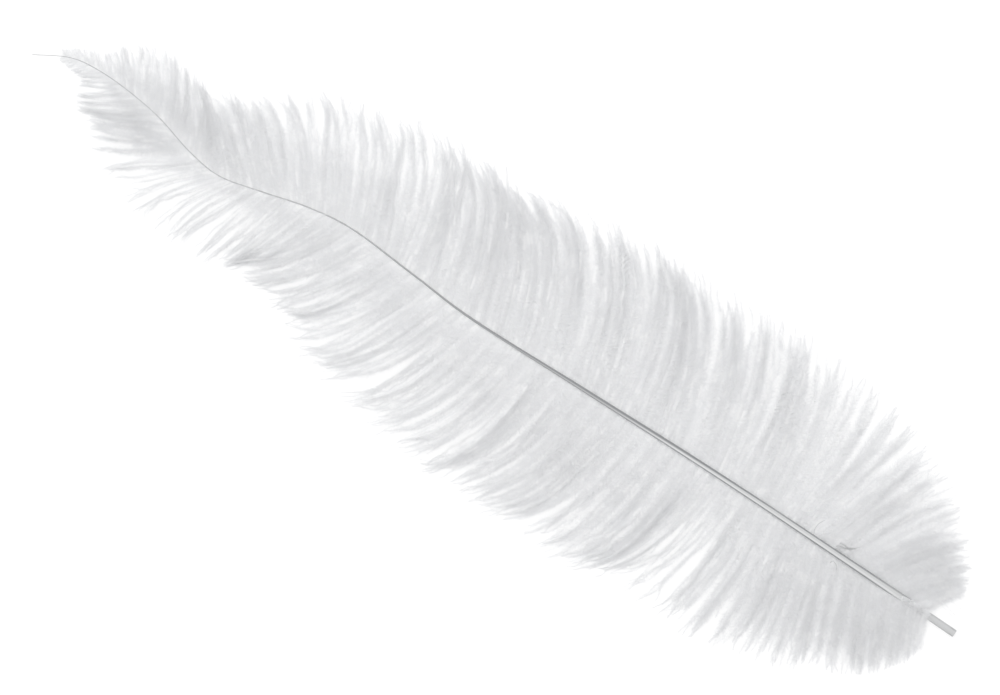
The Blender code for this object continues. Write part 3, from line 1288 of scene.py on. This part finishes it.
@dataclass(frozen=True)
class HornFinish:
    """Pale satin horn: white pith shows through its back, and painted shade draws dark lines along both
    flanks and darkens the half of the back turned from the light.

    Args:
        pith: Colour of the light band along the back.
        flank: Colour of the dark lines on both sides: painted shade where the shaft meets the barbs and
            turns from the light.
        wall: Colour of the quill's cut wall, and of the back where the light band begins.
        stub: Colour of the bare stub, and of the painted shade on the half of the back turned from the
            light.
        tip: Colour of the thin end.
        far_edge: How sharply the light band ends on the far side.
        streaks: Strength of the lengthwise streaks.
        coat: Share of clear gloss.
    """

    pith: tuple = (0.8, 0.805, 0.81, 1.0)
    flank: tuple = (0.22, 0.225, 0.235, 1.0)
    wall: tuple = (0.5, 0.505, 0.51, 1.0)
    stub: tuple = (0.62, 0.625, 0.63, 1.0)
    tip: tuple = (0.45, 0.455, 0.465, 1.0)
    far_edge: float = 8.0
    streaks: float = 0.25
    coat: float = 0.15

    def material(self) -> bpy.types.Material:
        """Makes the shaft's material."""
        made = Nodes("pale_horn")
        aside, along, _ = made.mark()
        # The light band lies between a thin line of painted shade on the near side and a broader one on
        # the far side, which narrows towards the base
        near = made.ramp(aside, ((0.0, 0.0), (0.12, 0.0), (0.24, 1.0)))
        reaches = ((0.0, 0.0), (0.45, 0.35), (0.56, 0.5), (0.64, 0.55), (0.72, 0.66), (0.8, 0.82))
        reach = made.ramp(along, reaches)
        far = made.sum("MULTIPLY", made.sum("SUBTRACT", reach, aside), self.far_edge)
        far = made.sum("MINIMUM", made.sum("MAXIMUM", far, 0.0), 1.0)
        band = made.sum("MULTIPLY", near, far)
        thin = ((0.0, self.tip), (0.3, self.tip))
        # Outside the light band: the thin end's grey, then painted shade along the flanks
        stout = ((0.5, self.flank), (0.9, self.flank), (0.97, self.wall))
        ring = ((0.993, self.wall), (0.995, self.flank), (0.997, self.wall))
        flank = made.ramp(along, (*thin, *stout, *ring))
        # Painted light and shade: the half of the back towards the light is pale pith, and the half
        # turned from it is painted in darker shaded colours
        fades_in = ((0.5, self.wall), (0.62, self.wall))
        lit = made.ramp(along, (*fades_in, (0.7, self.pith), (0.93, self.pith), (0.96, self.stub)))
        shaded = made.ramp(along, (*fades_in, (0.8, self.stub)))
        lit = made.mix(made.ramp(aside, ((0.36, 0.0), (0.5, 1.0))), lit, shaded)
        colour = made.mix(band, flank, lit)
        streak = made.noise(scale=300.0, detail=3.0, stretch=(0.06, 1.0, 1.0))
        colour = made.mix(made.sum("MULTIPLY", streak, self.streaks), colour, self.wall)
        made.link(colour, made.shader.inputs["Base Color"])
        made.link(made.ramp(streak, ((0.3, 0.32), (0.7, 0.5))), made.shader.inputs["Roughness"])
        made.bump(streak, strength=0.25, distance=0.0001)
        made.shader.inputs["Coat Weight"].default_value = self.coat
        return made.material


@dataclass(frozen=True)
class TableFinish:
    """The pale floor: matt white paper on a light table.

    Args:
        colour: Colour of the paper.
        glow: Strength of the light from under it.
        roughness: How matt it is.
    """

    colour: tuple = (0.3, 0.3, 0.3, 1.0)
    glow: float = 0.75
    roughness: float = 0.9

    def material(self) -> bpy.types.Material:
        """Makes the floor's material."""
        made = bpy.data.materials.new("pale_floor")
        made.use_nodes = True
        shader = made.node_tree.nodes["Principled BSDF"]
        shader.inputs["Base Color"].default_value = self.colour
        shader.inputs["Roughness"].default_value = self.roughness
        shader.inputs["Emission Color"].default_value = WHITE
        shader.inputs["Emission Strength"].default_value = self.glow
        return made


@dataclass
class Studio:
    """The camera over the plume, the soft light and the pale floor.

    Args:
        lens: Focal length of the camera, in millimetres.
        sensor: Width of its sensor, in millimetres.
        look_height: Height of the plume that is drawn at the photograph's scale, in millimetres.
        floor_size: Width of the floor, in metres.
        sky: Strength of the light from all round.
        box_size: Width and depth of the soft box, in metres.
        box_power: Its power, in watts.
        box_place: Where it hangs, in metres.
        box_tilt: How far it is turned about X and Y, in degrees.
    """

    lens: float = 120.0
    sensor: float = 36.0
    look_height: float = 6.0
    floor_size: float = 6.0
    sky: float = 0.8
    box_size: tuple = (1.2, 0.9)
    box_power: float = 7.0
    box_place: tuple = (-0.5, 0.5, 1.2)
    box_tilt: float = -22.0

    def camera(self) -> None:
        """Hangs the camera straight above the plume, turned so that the plume runs down to the right."""
        data = bpy.data.cameras.new("camera")
        data.lens = self.lens
        data.sensor_width = self.sensor
        thing = bpy.data.objects.new("camera", data)
        turn = math.radians(PLUME_TURN)
        right = (FRAME_PIXELS[0] / 2 - PLUME_MIDDLE_PIXEL[0]) * MM_PER_PIXEL
        down = (FRAME_PIXELS[1] / 2 - PLUME_MIDDLE_PIXEL[1]) * MM_PER_PIXEL
        along = right * math.cos(turn) + down * math.sin(turn)
        aside = right * math.sin(turn) - down * math.cos(turn) - MIDDLE[1]
        distance = FRAME_PIXELS[0] * MM_PER_PIXEL * self.lens / self.sensor
        thing.location = (along * MM, aside * MM, (distance + self.look_height) * MM)
        thing.rotation_euler = (0, 0, turn)
        bpy.context.scene.collection.objects.link(thing)
        bpy.context.scene.camera = thing

    def light(self) -> None:
        """Lights the plume from a wide soft box above and from an even pale sky."""
        world = bpy.data.worlds.new("pale_room")
        world.use_nodes = True
        sky = world.node_tree.nodes["Background"]
        sky.inputs["Color"].default_value = WHITE
        sky.inputs["Strength"].default_value = self.sky
        bpy.context.scene.world = world
        data = bpy.data.lights.new("soft_box", "AREA")
        data.shape = "RECTANGLE"
        data.size, data.size_y = self.box_size
        data.energy = self.box_power
        thing = bpy.data.objects.new("soft_box", data)
        thing.location = self.box_place
        tilt = math.radians(self.box_tilt)
        thing.rotation_euler = (tilt, tilt, 0)
        bpy.context.scene.collection.objects.link(thing)

    def floor(self) -> None:
        """Lays the pale floor under the plume."""
        half = self.floor_size / 2
        points = np.array([[-half, -half, 0], [half, -half, 0], [half, half, 0], [-half, half, 0]])
        thing = mesh_object("floor", points, np.array([[0, 1, 2], [0, 2, 3]]), points[:, :2], points)
        thing.data.materials.append(TableFinish().material())

    def build(self) -> None:
        """Sets up the whole studio."""
        bpy.context.scene.view_settings.view_transform = "Standard"
        self.camera()
        self.light()
        self.floor()


@dataclass
class OstrichPlume:
    """The whole plume, from its shaft and its two vanes.

    Args:
        shaft: The line of the shaft.
        locks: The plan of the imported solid's locks.
        vane_pieces: How many pieces each vane is built as.
        far_cover_span: The far vane's own stations over which its barbs begin to cover the shaft.
    """

    shaft: ShaftLine = field(default_factory=ShaftLine)
    locks: LockPlan = field(default_factory=LockPlan)
    vane_pieces: int = 3
    far_cover_span: tuple = (379.0, 394.0)

    def dress(self, piece: bpy.types.Object, material: bpy.types.Material) -> None:
        """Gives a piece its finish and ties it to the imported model.

        Args:
            piece: The object.
            material: Its finish.
        """
        piece.data.materials.append(material)
        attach(piece, BODY)
        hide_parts(NODE)

    def build(self) -> None:
        """Builds and dresses every piece."""
        down = DownFinish().material()
        self.dress(Rachis(self.shaft).build(), HornFinish().material())
        vanes = (
            Vane(Side.FAR, FAR_BARBS, self.shaft, self.locks, cover_span=self.far_cover_span),
            Vane(Side.NEAR, NEAR_BARBS, self.shaft, self.locks),
        )
        for vane in vanes:
            for piece in vane.build(self.vane_pieces):
                self.dress(piece, down)
        grey = (STRAY_GREY,) * 4
        dusky = DownFinish("dusky_down", *grey).material()
        self.dress(StrayBarbs("dark_strays", DARK_STRAYS, fringe=0.35).build(), dusky)
        self.dress(StrayBarbs("curled_strays", CURLED_STRAYS, fringe=1.1).build(), dusky)
        self.dress(StrayBarbs("pale_strays", PALE_STRAYS, fringe=0.4).build(), down)


def main() -> None:
    """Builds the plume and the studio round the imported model."""
    logging.basicConfig(level=logging.INFO)
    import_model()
    Studio().build()
    OstrichPlume().build()


if __name__ == "__main__":
    main()
